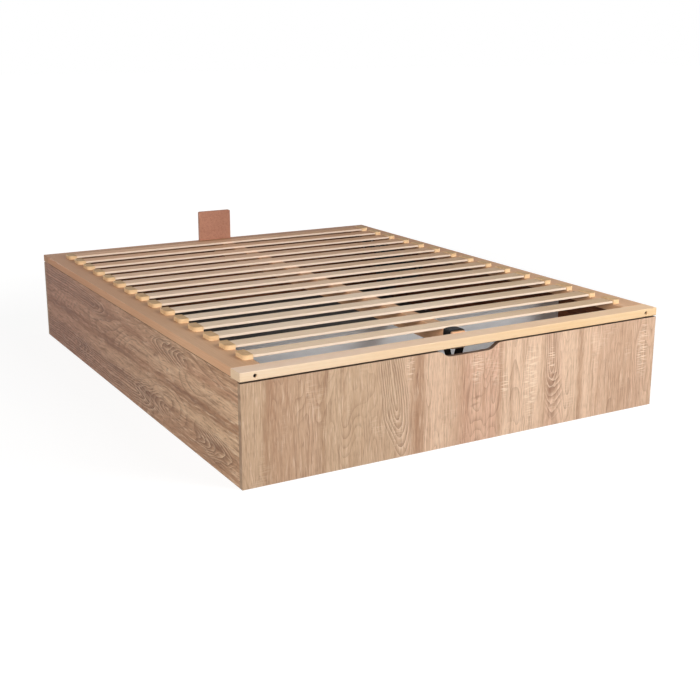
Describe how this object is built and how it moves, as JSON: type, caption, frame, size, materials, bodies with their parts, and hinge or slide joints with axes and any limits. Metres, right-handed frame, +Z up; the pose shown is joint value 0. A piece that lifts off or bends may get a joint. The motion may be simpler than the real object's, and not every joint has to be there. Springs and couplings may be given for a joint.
{
  "type": "storage bed base",
  "caption": "Storage bed base: wood-grain box with a hand notch at the foot and a slatted pine frame that lifts on gas-sprung four-bar hinges.",
  "frame": {"origin": "on the floor under the middle of the bed", "axes": "+X across the bed, +Y from the foot to the head, +Z up"},
  "size_m": [1.5, 1.9, 0.457],
  "materials": {
    "oak_laminate": "matt laminate with a rough-sawn oak print",
    "pine": "planed pine, unvarnished",
    "slat_wood": "sawn softwood, unvarnished",
    "pale_board": "pale laminated chipboard",
    "floor_dark": "dark fibreboard",
    "stop_board": "red-brown fibreboard",
    "holder_plastic": "moulded beige plastic",
    "webbing": "black woven webbing",
    "hinge_steel": "black powder coat",
    "spring_tube": "black lacquered tube",
    "plated_steel": "zinc-plated"
  },
  "bodies": {
    "base": {"foot_panel": "oak_laminate", "head_panel": "oak_laminate", "left_side_panel": "oak_laminate", "right_side_panel": "oak_laminate", "cam_discs": "plated_steel", "cam_dowels": "plated_steel", "floor_board_front": "floor_dark", "floor_board_middle": "floor_dark", "floor_board_rear": "floor_dark", "front_cross_bearer": "pale_board", "rear_cross_bearer": "pine", "left_floor_batten": "pine", "right_floor_batten": "pine", "foot_floor_batten": "pine", "head_floor_batten": "pine", "batten_screws": "plated_steel", "left_base_plate": "hinge_steel", "right_base_plate": "hinge_steel", "base_plate_screws": "plated_steel", "base_pivot_rivets": "plated_steel", "lower_strut_studs": "plated_steel"},
    "rear_arms": {"left_rear_arm": "hinge_steel", "right_rear_arm": "hinge_steel"},
    "lift_frame": {"foot_rail": "pine", "head_rail": "pine", "left_side_rail": "pine", "right_side_rail": "pine", "centre_rail": "pine", "slat_01": "slat_wood", "slat_02": "slat_wood", "slat_03": "slat_wood", "slat_04": "slat_wood", "slat_05": "slat_wood", "slat_06": "slat_wood", "slat_07": "slat_wood", "slat_08": "slat_wood", "slat_09": "slat_wood", "slat_10": "slat_wood", "slat_11": "slat_wood", "slat_12": "slat_wood", "slat_13": "slat_wood", "slat_14": "slat_wood", "slat_15": "slat_wood", "slat_holders": "holder_plastic", "frame_bolts": "plated_steel", "barrel_nuts": "plated_steel", "centre_rail_angles": "plated_steel", "left_lift_bracket": "hinge_steel", "right_lift_bracket": "hinge_steel", "frame_screws": "plated_steel", "bracket_pivot_rivets": "plated_steel", "mattress_stop": "stop_board", "pull_strap": "webbing"},
    "front_arms": {"left_front_arm": "hinge_steel", "right_front_arm": "hinge_steel", "upper_strut_studs": "plated_steel"},
    "gas_cylinders": {"left_gas_cylinder": "spring_tube", "right_gas_cylinder": "spring_tube"},
    "gas_rods": {"left_gas_rod": "plated_steel", "right_gas_rod": "plated_steel"}
  },
  "joints": [
    {"name": "frame_lift", "type": "hinge", "parent": "rear_arms", "child": "lift_frame", "pos_m": [0, 0.876, 0.278], "axis": [-1, 0, 0], "range_deg": [0, 60.94]},
    {"name": "rear_arm_swing", "type": "hinge", "parent": "base", "child": "rear_arms", "pos_m": [0, 0.746, 0.227], "axis": [1, 0, 0], "range_deg": [0, 29.44]},
    {"name": "front_arm_swing", "type": "hinge", "parent": "base", "child": "front_arms", "pos_m": [0, 0.426, 0.222], "axis": [1, 0, 0], "range_deg": [0, 15.15]},
    {"name": "gas_cylinder_swing", "type": "hinge", "parent": "base", "child": "gas_cylinders", "pos_m": [0, 0.7155, 0.088], "axis": [1, 0, 0], "range_deg": [0, 7.58]},
    {"name": "gas_rod_swing", "type": "hinge", "parent": "front_arms", "child": "gas_rods", "pos_m": [0, 0.741, 0.2724], "axis": [-1, 0, 0], "range_deg": [0, 7.58]}
  ],
  "couplings": [
    {"joint": "rear_arm_swing", "follows": "frame_lift", "ratio": 0.48308},
    {"joint": "front_arm_swing", "follows": "frame_lift", "ratio": 0.24858},
    {"joint": "gas_cylinder_swing", "follows": "frame_lift", "ratio": 0.12429},
    {"joint": "gas_rod_swing", "follows": "frame_lift", "ratio": 0.12429}
  ]
}
